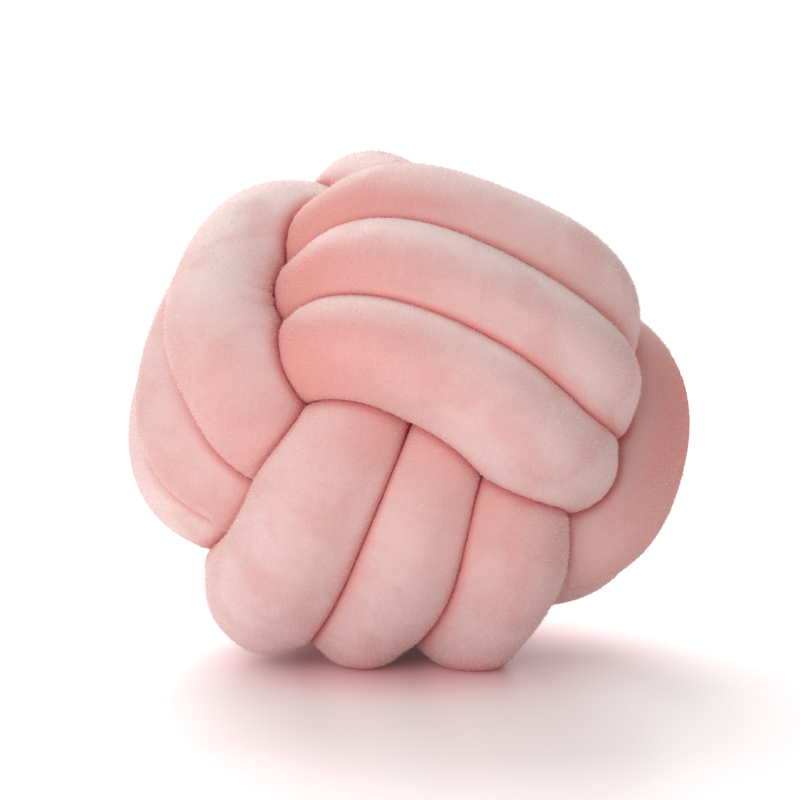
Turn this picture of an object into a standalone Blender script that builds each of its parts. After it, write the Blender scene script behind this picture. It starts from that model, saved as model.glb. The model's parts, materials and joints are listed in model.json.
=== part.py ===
"""A knot cushion: one long stuffed velvet tube, tied in a round knot of three bands.

Each band is three turns of the tube, side by side. The cross band runs over the top, the flank
band round the sides and the upright band down the front, and each passes under the next:
cross under flank, flank under upright, upright under cross. The tube's two ends are tucked into
the hollow at the middle of the ball. Where strands press on each other or on the floor they are
flat, and between those places they round off like a stuffed tube.

Metres, +Z up. The cushion rests on z = 0, its front towards -Y.
"""

from math import radians
from typing import NamedTuple

import bmesh
import bpy
import numpy as np
from mathutils import Euler

# Driving sizes of the knot.
TUBE_RADIUS = 0.027  # the stuffed tube where nothing presses on it
CENTRE_HEIGHT = 0.1185  # centre of the ball above the floor
TURN = (52.57, 18.61, 0.80)  # how the tied ball lies, in degrees about X, Y and Z
LOOP_POWER = 3.0  # a strand's arc is part of a superellipse of this power: 2 would be an ellipse
DIVE = 47.0  # degrees from a strand's middle to where it goes under the next band
SHOWS_WITHIN = 56.0  # degrees from its middle to where it is out of sight
SIDEWAYS_LIMIT = 1.15  # the sideways steps grow to this much past the dive

# How the tube gives where it is pressed.
SEAM_GAP = 0.0012  # left between two strands that touch
INSIDE_GAP = 0.006  # the same, where the tube is hidden
SOFTNESS = 0.006  # how gently the tube rounds off beside such a place
BEND_ROOM = 0.75  # the share of a bend's inner radius that the tube may fill
OWN_STRETCH = 0.068  # nearer than this along the tube, it doesn't press on itself,
FOLDED_BACK = 0.62  # unless it folds back to less than this share of the way along
NEAR = 0.080  # stretches whose middle lines are farther apart never touch
LEAST_APART = 0.008  # nearer sections are taken as one
INSIDE_RADIUS = 0.018  # the tube where it is hidden, drawn in by the band over it
INSIDE_REACH = 0.068  # centre of the ball to its middle line there
INSIDE_PITCH_SHARE = 0.70  # how far the three hidden strands of a band gather
LEAST_RADIUS = 0.004  # no place is pressed flatter than this
LEAST_TOWARD = 0.02  # a direction that turns less than this towards a neighbour is free of it
FREE_ROOM = 1.0  # the room of a direction that nothing limits
STUFFING_ROUNDS = 160

# How the hidden stretches make room for each other.
ROOM_SHARE = 0.82  # of two strands' radii, between their middle lines
SETTLE_EVERY = 3  # sections between the places that are moved
SETTLE_ROUNDS = 80
SETTLE_STEP = 0.4  # share of the missing room that one round makes
SETTLE_EASE = 0.3  # share of the way to its neighbours' mean that a place then moves
TINY = 1e-6  # keeps a division from failing

# How finely the tube is worked out, and how much of that is kept.
STEP = 0.003  # between sections, along the tube
SIDES = 42  # points round a section
STRAND_PLACES = 61  # points of one strand's middle line
TUCK_PLACES = 12  # points from one stop inside the hollow to the next
KEPT_SIDE = 3  # every third point round a section is kept
KEPT_STRAIGHT = 0.0156  # between the sections that are kept where the tube runs straight
KEPT_TURN = 1.3  # radians: in a bend, one more is kept for each such turn

# Widths of the bell curves that even out a value along the tube, in sections.
EVEN_ENDS = 2.5  # where a strand runs into a tuck
EVEN_LINE = 4.0
EVEN_RADIUS = 5.0
EVEN_GAP = 5.0
EVEN_TURN = 6.0
EVEN_KEPT = 3.0
# The same, in the places that settle.
EVEN_FREE = 2.5
EVEN_MOVE = 2.0
EVEN_SETTLED = 1.5

START_ACROSS = (0.3, 0.5, 0.8)  # any direction that isn't the one in which the tube starts
CLEAR_OUTSIDE = 0.060  # a section this far out of the ball's middle knows where the outside is

VELVET = (0.80, 0.47, 0.43, 1.0)  # linear RGB
VELVET_ROUGHNESS = 0.85


class Strand(NamedTuple):
    """One stretch of the tube that shows, from where it comes up to where it dives again."""

    offset: float  # its middle, sideways from the middle of the band
    lean: float  # sideways step from its middle to its high end
    bow: float  # sideways step from its middle to both ends
    height: float  # centre of the ball to its middle
    low: float  # reach of its low end
    high: float  # reach of its high end
    radius: float


# The strands by face and number. Strand 0 is at the low side of its band.
TIED = {
    ("top", 0): Strand(-0.039, -0.015, -0.007, 0.107, 0.058, 0.071, 0.028),
    ("top", 1): Strand(0.000, -0.011, 0.000, 0.113, 0.066, 0.095, 0.026),
    ("top", 2): Strand(0.045, -0.005, 0.000, 0.101, 0.072, 0.087, 0.026),
    ("front", 0): Strand(-0.038, 0.008, -0.002, 0.108, 0.066, 0.074, 0.031),
    ("front", 1): Strand(0.010, 0.011, -0.005, 0.104, 0.0595, 0.072, 0.028),
    ("front", 2): Strand(0.060, 0.006, -0.003, 0.090, 0.048, 0.072, 0.028),
    ("left", 2): Strand(0.051, -0.015, 0.000, 0.107, 0.065, 0.075, 0.027),
    ("left", 1): Strand(0.003, 0.004, 0.000, 0.111, 0.082, 0.069, 0.027),
    ("left", 0): Strand(-0.044, 0.004, 0.000, 0.112, 0.076, 0.074, 0.026),
    ("right", 2): Strand(0.026, -0.003, 0.000, 0.107, 0.077, 0.070, 0.026),
    ("right", 1): Strand(-0.014, -0.006, 0.000, 0.104, 0.064, 0.068, 0.025),
    ("right", 0): Strand(-0.048, -0.012, 0.000, 0.089, 0.053, 0.066, 0.024),
    ("back", 0): Strand(-0.058, 0.000, 0.000, 0.094, 0.068, 0.064, 0.028),
    ("back", 1): Strand(-0.008, 0.000, 0.000, 0.104, 0.070, 0.060, 0.025),
    ("back", 2): Strand(0.038, 0.000, 0.000, 0.096, 0.070, 0.054, 0.024),
    ("bottom", 0): Strand(-0.053, 0.000, 0.000, 0.092, 0.092, 0.060, 0.027),
    ("bottom", 1): Strand(0.000, 0.000, 0.000, 0.110, 0.070, 0.062, 0.026),
    ("bottom", 2): Strand(0.046, 0.000, 0.000, 0.102, 0.070, 0.066, 0.026),
}


class Band(NamedTuple):
    """Three turns of the tube round the ball. Axes 0, 1 and 2 are the knot's own X, Y and Z."""

    faces: tuple  # the face on the plus side of the long axis, then the other
    axes: tuple  # long (towards the faces), short (the way the strands run), sideways
    order: tuple  # its strands, in the order in which the tube makes them


# In the order in which the tube makes them.
BANDS = (
    Band(("top", "bottom"), (2, 0, 1), (0, 1, 2)),
    Band(("right", "left"), (0, 1, 2), (2, 1, 0)),
    Band(("back", "front"), (1, 2, 0), (2, 1, 0)),
)

# Where the tube goes inside the hollow: before the first band, between bands, after the last.
TUCKED = (
    ((-0.012, -0.010, -0.030), (-0.034, -0.030, -0.034)),
    ((-0.044, 0.030, 0.030), (-0.026, -0.006, 0.030)),
    ((0.024, -0.052, -0.042), (0.034, -0.022, -0.046)),
    ((-0.020, 0.034, -0.046), (0.012, 0.032, -0.022)),
)


def smooth_step(x):
    x = np.clip(x, 0.0, 1.0)
    return x * x * (3.0 - 2.0 * x)


def sideways_at(strand, along):
    along = np.clip(along, -SIDEWAYS_LIMIT, SIDEWAYS_LIMIT)
    return strand.offset + strand.lean * along + strand.bow * along**2


def joint_sideways(strand, other, side):
    """Sideways place of the tube where one strand runs into the next, under another band."""
    end = side / np.sin(radians(DIVE))
    both = sideways_at(strand, end) + sideways_at(other or strand, end)
    return both / 2 * INSIDE_PITCH_SHARE


def strand_points(band, face_sign, strand, before, after):
    """Middle line and radius of one strand, from dive to dive."""
    long_axis, short_axis, side_axis = band.axes
    angle = np.radians(np.linspace(-90.0, 90.0, STRAND_PLACES)) * face_sign
    side = np.where(angle < 0, -1, 1)
    along = np.sin(angle) / np.sin(radians(DIVE))
    reach = np.where(side < 0, strand.low, strand.high)
    out = (np.abs(np.cos(angle)) / strand.height) ** LOOP_POWER
    out = (out + (np.abs(np.sin(angle)) / reach) ** LOOP_POWER) ** (-1 / LOOP_POWER)
    sideways = sideways_at(strand, along)
    radius = np.full(angle.shape, strand.radius)
    hidden = smooth_step((np.degrees(np.abs(angle)) - DIVE) / (90.0 - DIVE))
    for end, other in ((-1, before), (1, after)):
        at_side = end * face_sign
        share = np.where(side == at_side, hidden, 0.0)
        sideways = sideways + (joint_sideways(strand, other, at_side) - sideways) * share
        out = out + (INSIDE_REACH - out) * share
        radius = radius + (INSIDE_RADIUS - radius) * share
    points = np.zeros((len(angle), 3))
    points[:, long_axis] = face_sign * out * np.cos(angle)
    points[:, short_axis] = out * np.sin(angle)
    points[:, side_axis] = sideways
    shows = np.degrees(np.abs(angle)) < SHOWS_WITHIN
    return points, radius, shows


def band_points(band):
    """The band's six strands one after the other: over one face, back over the other."""
    turns = [(sign, TIED[face, number])
             for number in band.order
             for sign, face in zip((1, -1), band.faces)]
    parts = []
    for place, (sign, strand) in enumerate(turns):
        before = turns[place - 1][1] if place > 0 else None
        after = turns[place + 1][1] if place + 1 < len(turns) else None
        parts.append(strand_points(band, sign, strand, before, after))
    return [np.concatenate(column) for column in zip(*parts)]


def apart(points, radius, shows):
    """Moves the hidden stretches until they lie clear of the other strands.

    Two strands want ROOM_SHARE of their radii between their middle lines. Where they are closer,
    each hidden place steps away from what crowds it, sideways or deeper but never outwards, and
    the steps are evened out along the tube.
    """
    coarse = slice(None, None, SETTLE_EVERY)
    places, sizes = points[coarse].copy(), radius[coarse]
    free = smoothed((~shows[coarse]).astype(float), EVEN_FREE)[:, None]
    count = len(places)
    order = np.arange(count)
    along_tube = np.abs(order[:, None] - order[None, :]) * SETTLE_EVERY * STEP
    wanted = ROOM_SHARE * (sizes[:, None] + sizes[None, :])
    wanted[along_tube < OWN_STRETCH] = 0.0
    for _ in range(SETTLE_ROUNDS):
        away = places[:, None, :] - places[None, :, :]
        distance = np.linalg.norm(away, axis=2) + TINY
        short = np.maximum(wanted - distance, 0.0)
        weight = short / distance * short
        step = np.sum(away * weight[..., None], axis=1)
        step = step / np.maximum(short.sum(axis=1), TINY)[:, None]
        outward = unit(places)
        rising = np.maximum(np.sum(step * outward, axis=1, keepdims=True), 0.0)
        step = step - outward * rising
        places = places + SETTLE_STEP * free * smoothed(step, EVEN_MOVE)
        places = places + SETTLE_EASE * free * (smoothed(places, EVEN_SETTLED) - places)
    moved = places - points[coarse]
    every = np.arange(len(points)) / SETTLE_EVERY
    return points + np.stack([np.interp(every, order, axis) for axis in moved.T], axis=1)


def unit(vectors):
    return vectors / np.linalg.norm(vectors, axis=-1, keepdims=True)


def tucked_curve(stops, into, out_of):
    """Points on a smooth curve through the stops, from the end of one band to the next.

    The slope at a stop runs from the stop before it to the one after, and at a band it is the
    band's own, so nothing kinks.
    """
    ends = [part[[-1]] for part in (into,) if part is not None]
    starts = [part[[0]] for part in (out_of,) if part is not None]
    knots = np.concatenate([*ends, np.array(stops), *starts])
    slopes = np.gradient(knots, axis=0)
    if into is not None:
        slopes[0] = unit(into[-1] - into[-2]) * np.linalg.norm(knots[1] - knots[0])
    if out_of is not None:
        slopes[-1] = unit(out_of[1] - out_of[0]) * np.linalg.norm(knots[-1] - knots[-2])
    curve = []
    for start, end, leave, arrive in zip(knots, knots[1:], slopes, slopes[1:]):
        t = np.linspace(0.0, 1.0, TUCK_PLACES, endpoint=False)[:, None]
        curve.append((2 * t**3 - 3 * t**2 + 1) * start + (t**3 - 2 * t**2 + t) * leave
                     + (3 * t**2 - 2 * t**3) * end + (t**3 - t**2) * arrive)
    curve = np.concatenate(curve)
    return curve[1:] if into is not None else curve


def smoothed(values, width):
    """Each value averaged with its neighbours, weighted by a bell curve. The ends stay."""
    reach = int(np.ceil(3 * width))
    bell = np.exp(-0.5 * (np.arange(-reach, reach + 1) / width) ** 2)
    bell = bell / bell.sum()
    flat = values.reshape(len(values), -1)
    start = 2 * flat[:1] - flat[reach:0:-1]
    end = 2 * flat[-1:] - flat[-2 : -reach - 2 : -1]
    padded = np.concatenate([start, flat, end])
    columns = [np.convolve(column, bell, mode="valid") for column in padded.T]
    return np.stack(columns, axis=1).reshape(values.shape)


def evenly_spaced(points, radius, shows):
    """The same line with a point every STEP."""
    length = np.concatenate([[0.0], np.cumsum(np.linalg.norm(np.diff(points, axis=0), axis=1))])
    even = np.linspace(0.0, length[-1], int(round(length[-1] / STEP)) + 1)
    points = np.stack([np.interp(even, length, axis) for axis in points.T], axis=1)
    shows = np.interp(even, length, shows.astype(float)) > 0.5
    return points, np.interp(even, length, radius), shows


def tube_path():
    """Middle line of the whole tube every STEP, with its radius and where it shows."""
    bands = [band_points(band) for band in BANDS]
    ends = [None] + [points for points, _, _ in bands] + [None]
    points, radius, shows = [], [], []
    for place, stops in enumerate(TUCKED):
        curve = tucked_curve(stops, ends[place], ends[place + 1])
        points.append(curve)
        radius.append(np.full(len(curve), INSIDE_RADIUS))
        shows.append(np.zeros(len(curve), dtype=bool))
        if place < len(bands):
            for column, part in zip((points, radius, shows), bands[place]):
                column.append(part)
    points, radius, shows = (np.concatenate(each) for each in (points, radius, shows))
    points, radius, shows = evenly_spaced(points, radius, shows)
    points = apart(smoothed(points, EVEN_ENDS), radius, shows)
    points, radius, shows = evenly_spaced(points, radius, shows)
    return smoothed(points, EVEN_LINE), smoothed(radius, EVEN_RADIUS), shows


def bend_of(points):
    """How sharply the line bends at each point: one over the radius of the bend."""
    along = unit(np.gradient(points, axis=0))
    return np.linalg.norm(np.gradient(along, axis=0), axis=1) / STEP


def section_directions(points):
    """For each section, the directions of its points, the first one pointing out of the ball.

    The frame rolls along the tube without twisting, and a slow turn then brings its first
    direction round to the outside, so the rows of points run straight along each strand.
    """
    along = unit(np.gradient(points, axis=0))
    across = np.zeros_like(points)
    across[0] = unit(np.cross(along[0], START_ACROSS))
    for i in range(1, len(points)):
        carried = across[i - 1] - along[i] * np.dot(along[i], across[i - 1])
        across[i] = carried / np.linalg.norm(carried)
    other = np.cross(along, across)
    outward = points - along * np.sum(points * along, axis=1, keepdims=True)
    turn = np.arctan2(np.sum(outward * other, axis=1), np.sum(outward * across, axis=1))
    certain = np.linalg.norm(outward, axis=1) > CLEAR_OUTSIDE
    places = np.arange(len(points))
    turn = np.interp(places, places[certain], np.unwrap(turn[certain]))
    turn = smoothed(turn, EVEN_TURN)
    angles = turn[:, None] + np.linspace(0.0, 2 * np.pi, SIDES, endpoint=False)[None, :]
    return (np.cos(angles)[..., None] * across[:, None, :]
            + np.sin(angles)[..., None] * other[:, None, :])


def room_beside(points, radius, gap, directions):
    """How far each point of a section may go out before it meets another stretch of the tube.

    Between two strands lies the surface that divides them evenly for their radii, and each
    keeps half of the gap to it. In a bend the same rule, with a smaller share and for stretches
    of one strand, keeps its sections from crossing on the inner side.
    """
    places = np.arange(len(points)) * STEP
    room = np.full(directions.shape[:2], FREE_ROOM)
    for i in range(len(points)):
        step = points - points[i]
        distance = np.linalg.norm(step, axis=1)
        along_tube = np.abs(places - places[i])
        near = (distance < NEAR) & (along_tube > LEAST_APART)
        step, distance, along_tube = step[near], distance[near], along_tube[near]
        other = (along_tube > OWN_STRETCH) | (distance < FOLDED_BACK * along_tube)
        divide = (distance**2 + radius[i] ** 2 - radius[near] ** 2) / (2 * distance) - gap[i] / 2
        divide = np.where(other, divide, BEND_ROOM * distance / 2)
        toward = directions[i] @ (step / distance[:, None]).T
        reach = np.where(toward > LEAST_TOWARD, divide / np.maximum(toward, LEAST_TOWARD), FREE_ROOM)
        room[i] = reach.min(axis=1)
    return room


def room_to_floor(points, directions):
    down = -directions[..., 2]
    room = points[:, None, 2] / np.maximum(down, LEAST_TOWARD)
    return np.where(down > LEAST_TOWARD, room, FREE_ROOM)


def stuffed(radius, room):
    """Swells each section to its radius where it has room, and rounds it off beside a pressed place.

    Every point is drawn to the tube's radius and to its neighbours' mean, and never past its room.
    """
    pull = (SOFTNESS / STEP) ** 2
    around = (SOFTNESS * SIDES / (2 * np.pi * TUBE_RADIUS)) ** 2
    full = np.broadcast_to(radius[:, None], room.shape)
    size = np.minimum(full, room)
    for _ in range(STUFFING_ROUNDS):
        ahead = np.concatenate([size[1:], size[-1:]])
        behind = np.concatenate([size[:1], size[:-1]])
        beside = np.roll(size, 1, axis=1) + np.roll(size, -1, axis=1)
        drawn = full + pull * (ahead + behind) + around * beside
        size = np.minimum(drawn / (1.0 + 2.0 * pull + 2.0 * around), room)
    return size


def round_ends(size):
    """Closes both ends of the tube in a half round."""
    from_end = np.minimum(np.arange(len(size)), np.arange(len(size))[::-1]) * STEP
    share = np.clip(from_end / INSIDE_RADIUS, 0.0, 1.0)
    return size * np.sqrt(np.maximum(1.0 - (1.0 - share) ** 2, 0.0))[:, None]


def tube_surface():
    """Sections of the whole tube as a grid of points, and which of them show."""
    points, radius, shows = tube_path()
    turn = np.array(Euler([radians(angle) for angle in TURN]).to_matrix())
    points = points @ turn.T
    directions = section_directions(points)
    points = points + (0.0, 0.0, CENTRE_HEIGHT)
    gap = smoothed(np.where(shows, SEAM_GAP, INSIDE_GAP), EVEN_GAP)
    room = np.minimum(room_beside(points, radius, gap, directions),
                      room_to_floor(points, directions))
    room = np.maximum(room, LEAST_RADIUS)
    size = round_ends(stuffed(radius, room))
    return points, points[:, None, :] + size[..., None] * directions, shows


def kept_sections(points):
    """The sections that the solid is built from: closer together where the tube bends."""
    per_metre = 1.0 / KEPT_STRAIGHT + bend_of(points) / KEPT_TURN
    progress = np.cumsum(STEP * smoothed(per_metre, EVEN_KEPT))
    steps = np.linspace(progress[1], progress[-2], int(round(progress[-2] - progress[1])) + 1)
    return np.searchsorted(progress, steps)


def tube_object():
    """The knotted tube as one closed solid."""
    middle, surface, shows = tube_surface()
    kept = kept_sections(middle)
    sections = surface[kept][:, ::KEPT_SIDE]
    low, high = sections.min(axis=(0, 1)), sections.max(axis=(0, 1))
    shift = np.array([(low[0] + high[0]) / 2, (low[1] + high[1]) / 2, low[2]])
    mesh = bpy.data.meshes.new("knotted_tube")
    solid = bmesh.new()
    rings = [[solid.verts.new(point - shift) for point in section] for section in sections]
    for ring, following in zip(rings, rings[1:]):
        for side in range(len(ring)):
            following_side = (side + 1) % len(ring)
            solid.faces.new((ring[side], following[side],
                             following[following_side], ring[following_side]))
    for ring, place in ((rings[0], 0), (rings[-1], -1)):
        tip = solid.verts.new(middle[place] - shift)
        for side in range(len(ring)):
            solid.faces.new((ring[side], ring[(side + 1) % len(ring)], tip))
    bmesh.ops.recalc_face_normals(solid, faces=solid.faces)
    bmesh.ops.triangulate(solid, faces=solid.faces)
    for face in solid.faces:
        face.smooth = True
    solid.to_mesh(mesh)
    solid.free()
    tube = bpy.data.objects.new("knotted_tube", mesh)
    bpy.context.collection.objects.link(tube)
    return tube


def velvet():
    material = bpy.data.materials.new("velvet")
    material.use_nodes = True
    surface = material.node_tree.nodes["Principled BSDF"]
    surface.inputs["Base Color"].default_value = VELVET
    surface.inputs["Roughness"].default_value = VELVET_ROUGHNESS
    surface.inputs["Metallic"].default_value = 0.0
    return material


for old in list(bpy.data.objects):
    bpy.data.objects.remove(old)
knotted_tube = tube_object()
knotted_tube.data.materials.append(velvet())
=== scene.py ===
# %% [markdown]
# # A knot cushion
#
# The cushion is one long tube of soft velvet, stuffed, and tied in a ball of three bands with
# three strands each. The solid of the frame already has the knot's shape, in faces as large as
# a fingertip. Here the same knot is worked out again, far finer, and gets its velvet and pile.
#
# Each step has a few words first: what the thing is on the real cushion, how it could be made,
# and why it is made this way.

# %% Load the frame
import json
from math import cos, pi, radians, sin
from typing import NamedTuple

import bpy
import numpy as np
from mathutils import Euler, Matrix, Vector

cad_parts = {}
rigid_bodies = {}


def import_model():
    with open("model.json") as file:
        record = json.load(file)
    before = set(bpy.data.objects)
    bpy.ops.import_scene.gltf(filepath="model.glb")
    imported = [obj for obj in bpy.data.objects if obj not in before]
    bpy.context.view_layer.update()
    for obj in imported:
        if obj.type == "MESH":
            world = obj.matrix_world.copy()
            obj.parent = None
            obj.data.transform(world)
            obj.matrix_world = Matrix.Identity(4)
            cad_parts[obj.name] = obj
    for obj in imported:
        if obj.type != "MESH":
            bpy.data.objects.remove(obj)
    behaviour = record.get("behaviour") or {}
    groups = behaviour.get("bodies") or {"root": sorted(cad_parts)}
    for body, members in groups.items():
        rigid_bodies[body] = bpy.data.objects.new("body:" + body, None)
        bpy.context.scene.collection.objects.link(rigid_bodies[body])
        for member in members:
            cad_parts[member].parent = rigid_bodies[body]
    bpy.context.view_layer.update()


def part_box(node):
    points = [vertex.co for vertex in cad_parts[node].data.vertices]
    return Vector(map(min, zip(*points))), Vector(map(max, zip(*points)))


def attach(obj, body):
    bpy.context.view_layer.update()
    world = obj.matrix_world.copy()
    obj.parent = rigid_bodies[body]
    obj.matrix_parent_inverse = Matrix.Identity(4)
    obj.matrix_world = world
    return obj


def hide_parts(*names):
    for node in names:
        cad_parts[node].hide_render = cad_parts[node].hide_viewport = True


for old in list(bpy.data.objects):
    bpy.data.objects.remove(old)
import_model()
solid_low, solid_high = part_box("knotted_tube")
print("the frame's solid is", [round(side, 4) for side in solid_high - solid_low], "m")

# %% [markdown]
# ## The strands
#
# A row of the table below is one stretch of the tube that shows, from where it comes up between
# two bands to where it dives again. A strand is an arc over the ball, so five sizes place it and
# one gives its thickness. Modelling each strand by hand would also work, but then nothing would
# join them, and on the real cushion they are all one tube.

# %% Sizes of the knot
TUBE_RADIUS = 0.027  # the stuffed tube where nothing presses on it
CENTRE_HEIGHT = 0.1185  # centre of the ball above the floor
TURN = (52.57, 18.61, 0.80)  # how the tied ball lies, in degrees about X, Y and Z
LOOP_POWER = 3.0  # a strand's arc is part of a superellipse of this power
DIVE = 47.0  # degrees from a strand's middle to where it goes under the next band
SHOWS_WITHIN = 56.0  # degrees from its middle to where it is out of sight
SIDEWAYS_LIMIT = 1.15  # the sideways steps grow to this much past the dive


class Strand(NamedTuple):
    offset: float  # its middle, sideways from the middle of the band
    lean: float  # sideways step from its middle to its high end
    bow: float  # sideways step from its middle to both ends
    height: float  # centre of the ball to its middle
    low: float  # reach of its low end
    high: float  # reach of its high end
    radius: float


TIED = {
    ("top", 0): Strand(-0.0385, -0.015, -0.0095, 0.107, 0.063, 0.072, 0.0248),
    ("top", 1): Strand(-0.004, -0.011, 0.000, 0.113, 0.066, 0.092, 0.026),
    ("top", 2): Strand(0.043, -0.005, 0.000, 0.101, 0.072, 0.087, 0.026),
    ("front", 0): Strand(-0.039, 0.008, -0.002, 0.108, 0.066, 0.069, 0.030),
    ("front", 1): Strand(0.008, 0.011, -0.005, 0.104, 0.057, 0.077, 0.027),
    ("front", 2): Strand(0.057, 0.006, -0.003, 0.090, 0.043, 0.083, 0.028),
    ("left", 2): Strand(0.051, -0.015, 0.000, 0.107, 0.062, 0.075, 0.027),
    ("left", 1): Strand(0.003, 0.004, 0.000, 0.112, 0.082, 0.069, 0.027),
    ("left", 0): Strand(-0.040, 0.004, 0.000, 0.112, 0.076, 0.074, 0.026),
    ("right", 2): Strand(0.026, -0.003, 0.000, 0.107, 0.077, 0.070, 0.026),
    ("right", 1): Strand(-0.014, -0.006, 0.000, 0.104, 0.064, 0.068, 0.025),
    ("right", 0): Strand(-0.048, -0.012, 0.000, 0.089, 0.053, 0.066, 0.024),
    ("back", 0): Strand(-0.058, 0.000, 0.000, 0.094, 0.068, 0.064, 0.028),
    ("back", 1): Strand(-0.008, 0.000, 0.000, 0.104, 0.070, 0.060, 0.025),
    ("back", 2): Strand(0.038, 0.000, 0.000, 0.096, 0.070, 0.054, 0.024),
    ("bottom", 0): Strand(-0.053, 0.000, 0.000, 0.092, 0.092, 0.060, 0.027),
    ("bottom", 1): Strand(0.000, 0.000, 0.000, 0.110, 0.070, 0.062, 0.026),
    ("bottom", 2): Strand(0.046, 0.000, 0.000, 0.102, 0.070, 0.066, 0.026),
}
STRAND_KEYS = list(TIED)
print(len(TIED), "strands show")

# %% [markdown]
# ## The bands and the way inside
#
# Three strands side by side make a band, and the three bands pass over and under one another.
# The tube makes all the turns of one band, then goes through the hollow of the ball to the next
# one. A short list of stops steers it there.


# %% Bands and stops
class Band(NamedTuple):
    faces: tuple  # the face on the plus side of the long axis, then the other
    axes: tuple  # long (towards the faces), short (the way the strands run), sideways
    order: tuple  # its strands, in the order in which the tube makes them


BANDS = (
    Band(("top", "bottom"), (2, 0, 1), (0, 1, 2)),
    Band(("right", "left"), (0, 1, 2), (2, 1, 0)),
    Band(("back", "front"), (1, 2, 0), (2, 1, 0)),
)
TUCKED = (  # stops in the hollow of the ball, before, between and after the bands
    ((-0.012, -0.010, -0.030), (-0.034, -0.030, -0.034)),
    ((-0.044, 0.030, 0.030), (-0.026, -0.006, 0.030)),
    ((0.024, -0.052, -0.042), (0.034, -0.022, -0.046)),
    ((-0.020, 0.034, -0.046), (0.012, 0.032, -0.022)),
)
INSIDE_RADIUS = 0.018  # the tube where it is hidden, drawn in by the band over it
INSIDE_REACH = 0.068  # centre of the ball to its middle line there
INSIDE_PITCH_SHARE = 0.70  # how far the three hidden strands of a band gather
STRAND_PLACES = 61  # points on a strand's middle line
TUCK_PLACES = 12  # and on the curve from one stop to the next
print(len(BANDS), "bands and", sum(len(stops) for stops in TUCKED), "stops inside the ball")

# %% [markdown]
# ## The middle line of one strand
#
# A strand runs over the ball from dive to dive. Its distance from the centre follows a
# superellipse, which is rounder at its shoulders than an ellipse, as a stuffed tube is. Past the
# dive it thins and gathers towards its neighbours, because the next band holds it down.


# %% One strand
def smooth_step(x):
    x = np.clip(x, 0.0, 1.0)
    return x * x * (3.0 - 2.0 * x)


def unit(vectors):
    return vectors / np.linalg.norm(vectors, axis=-1, keepdims=True)


def sideways_at(strand, along):
    along = np.clip(along, -SIDEWAYS_LIMIT, SIDEWAYS_LIMIT)
    return strand.offset + strand.lean * along + strand.bow * along**2


def joint_sideways(strand, other, side):
    """Sideways place of the tube where one strand runs into the next, under another band."""
    end = side / np.sin(radians(DIVE))
    both = sideways_at(strand, end) + sideways_at(other or strand, end)
    return both / 2 * INSIDE_PITCH_SHARE


def strand_points(band, face_sign, key, before, after):
    """Middle line of one strand: points, radius, whether it shows, its number and its angle."""
    strand = TIED[key]
    long_axis, short_axis, side_axis = band.axes
    angle = np.radians(np.linspace(-90.0, 90.0, STRAND_PLACES)) * face_sign
    side = np.where(angle < 0, -1, 1)
    along = np.sin(angle) / np.sin(radians(DIVE))
    reach = np.where(side < 0, strand.low, strand.high)
    out = (np.abs(np.cos(angle)) / strand.height) ** LOOP_POWER
    out = (out + (np.abs(np.sin(angle)) / reach) ** LOOP_POWER) ** (-1 / LOOP_POWER)
    sideways = sideways_at(strand, along)
    radius = np.full(angle.shape, strand.radius)
    hidden = smooth_step((np.degrees(np.abs(angle)) - DIVE) / (90.0 - DIVE))
    for end, other in ((-1, before), (1, after)):
        at_side = end * face_sign
        share = np.where(side == at_side, hidden, 0.0)
        sideways = sideways + (joint_sideways(strand, other, at_side) - sideways) * share
        out = out + (INSIDE_REACH - out) * share
        radius = radius + (INSIDE_RADIUS - radius) * share
    points = np.zeros((len(angle), 3))
    points[:, long_axis] = face_sign * out * np.cos(angle)
    points[:, short_axis] = out * np.sin(angle)
    points[:, side_axis] = sideways
    shows = np.degrees(np.abs(angle)) < SHOWS_WITHIN
    number = np.full(angle.shape, float(STRAND_KEYS.index(key)))
    return points, radius, shows, number, np.degrees(angle)


def band_points(band):
    """The band's six strands one after the other: over one face, back over the other."""
    turns = [(sign, (face, number))
             for number in band.order
             for sign, face in zip((1, -1), band.faces)]
    parts = []
    for place, (sign, key) in enumerate(turns):
        before = TIED[turns[place - 1][1]] if place > 0 else None
        after = TIED[turns[place + 1][1]] if place + 1 < len(turns) else None
        parts.append(strand_points(band, sign, key, before, after))
    return [np.concatenate(column) for column in zip(*parts)]


# %% [markdown]
# ## The whole middle line
#
# The bands and the curves between them become one line with a point every three millimetres.
# Hidden stretches would still run through each other inside the ball, so they are pushed apart
# a little at a time, as the strands of a real knot push each other aside when it is drawn tight.

# %% Even steps and even values
STEP = 0.003  # between sections, along the tube


def smoothed(values, width):
    """Each value averaged with its neighbours, by a bell curve this wide. The ends stay."""
    reach = int(np.ceil(3 * width))
    bell = np.exp(-0.5 * (np.arange(-reach, reach + 1) / width) ** 2)
    bell = bell / bell.sum()
    flat = values.reshape(len(values), -1)
    start = 2 * flat[:1] - flat[reach:0:-1]
    end = 2 * flat[-1:] - flat[-2 : -reach - 2 : -1]
    padded = np.concatenate([start, flat, end])
    columns = [np.convolve(column, bell, mode="valid") for column in padded.T]
    return np.stack(columns, axis=1).reshape(values.shape)


def evenly_spaced(points, radius, shows, number, angle):
    """The same line with a point every STEP."""
    length = np.concatenate([[0.0], np.cumsum(np.linalg.norm(np.diff(points, axis=0), axis=1))])
    even = np.linspace(0.0, length[-1], int(round(length[-1] / STEP)) + 1)
    nearest = np.round(np.interp(even, length, np.arange(len(length)))).astype(int)
    points = np.stack([np.interp(even, length, axis) for axis in points.T], axis=1)
    shows = np.interp(even, length, shows.astype(float)) > 0.5
    return points, np.interp(even, length, radius), shows, number[nearest], angle[nearest]


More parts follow.
